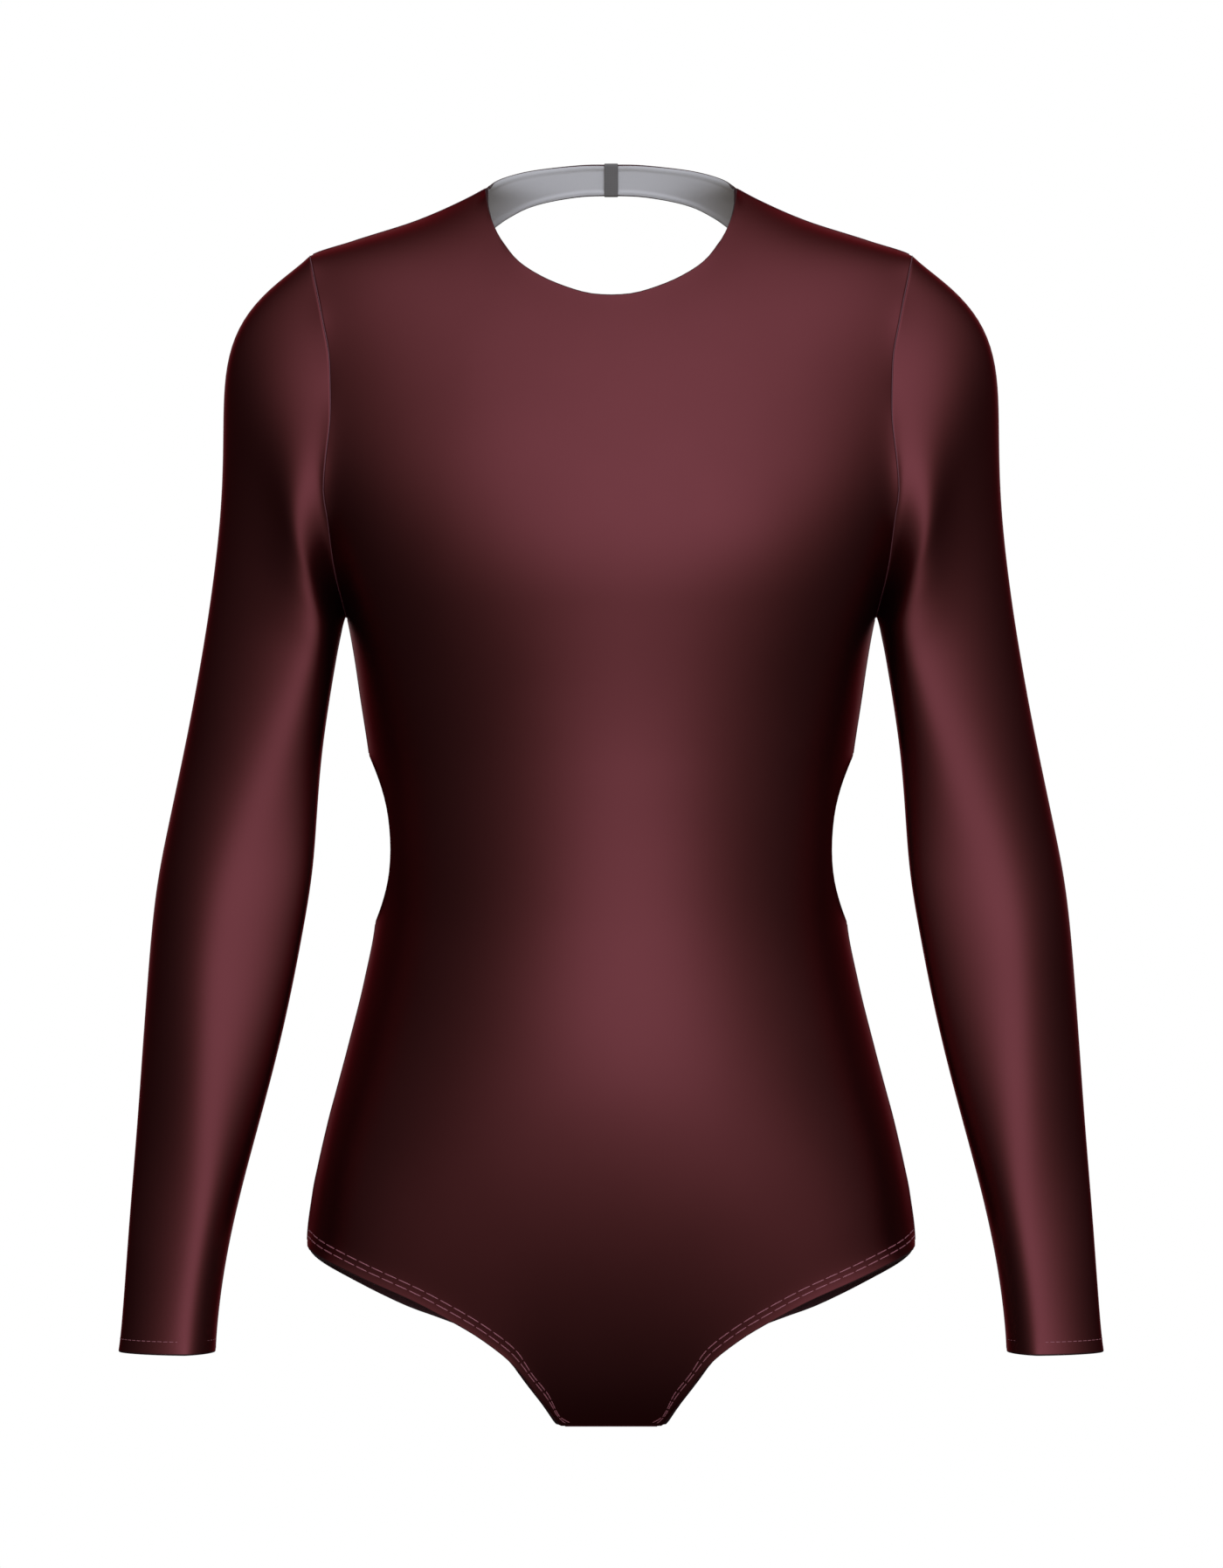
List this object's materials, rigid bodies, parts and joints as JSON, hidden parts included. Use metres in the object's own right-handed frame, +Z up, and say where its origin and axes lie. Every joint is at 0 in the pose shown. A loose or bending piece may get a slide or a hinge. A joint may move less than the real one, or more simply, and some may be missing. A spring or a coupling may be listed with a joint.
{
  "type": "leotard",
  "caption": "Long-sleeved stretch leotard with a round neck, an open back under a narrow neck band and low-cut legs, hollow as worn.",
  "frame": {"origin": "on the centre line, in the plane of the shoulder seams, half way up their slope, where the wearer's shoulders hold the garment", "axes": "+Z up the wearer's body, -Y out of the front of the chest, +X to the right as the front is seen"},
  "size_m": [0.5282, 0.2329, 0.6847],
  "materials": {
    "outer_cloth": "shiny",
    "closure_cloth": "matte"
  },
  "bodies": {
    "root": {"front": "outer_cloth", "back_lower": "outer_cloth", "back_upper_right": "outer_cloth", "back_upper_left": "outer_cloth", "sleeve_right": "outer_cloth", "sleeve_left": "outer_cloth", "neck_closure": "closure_cloth"}
  },
  "joints": []
}
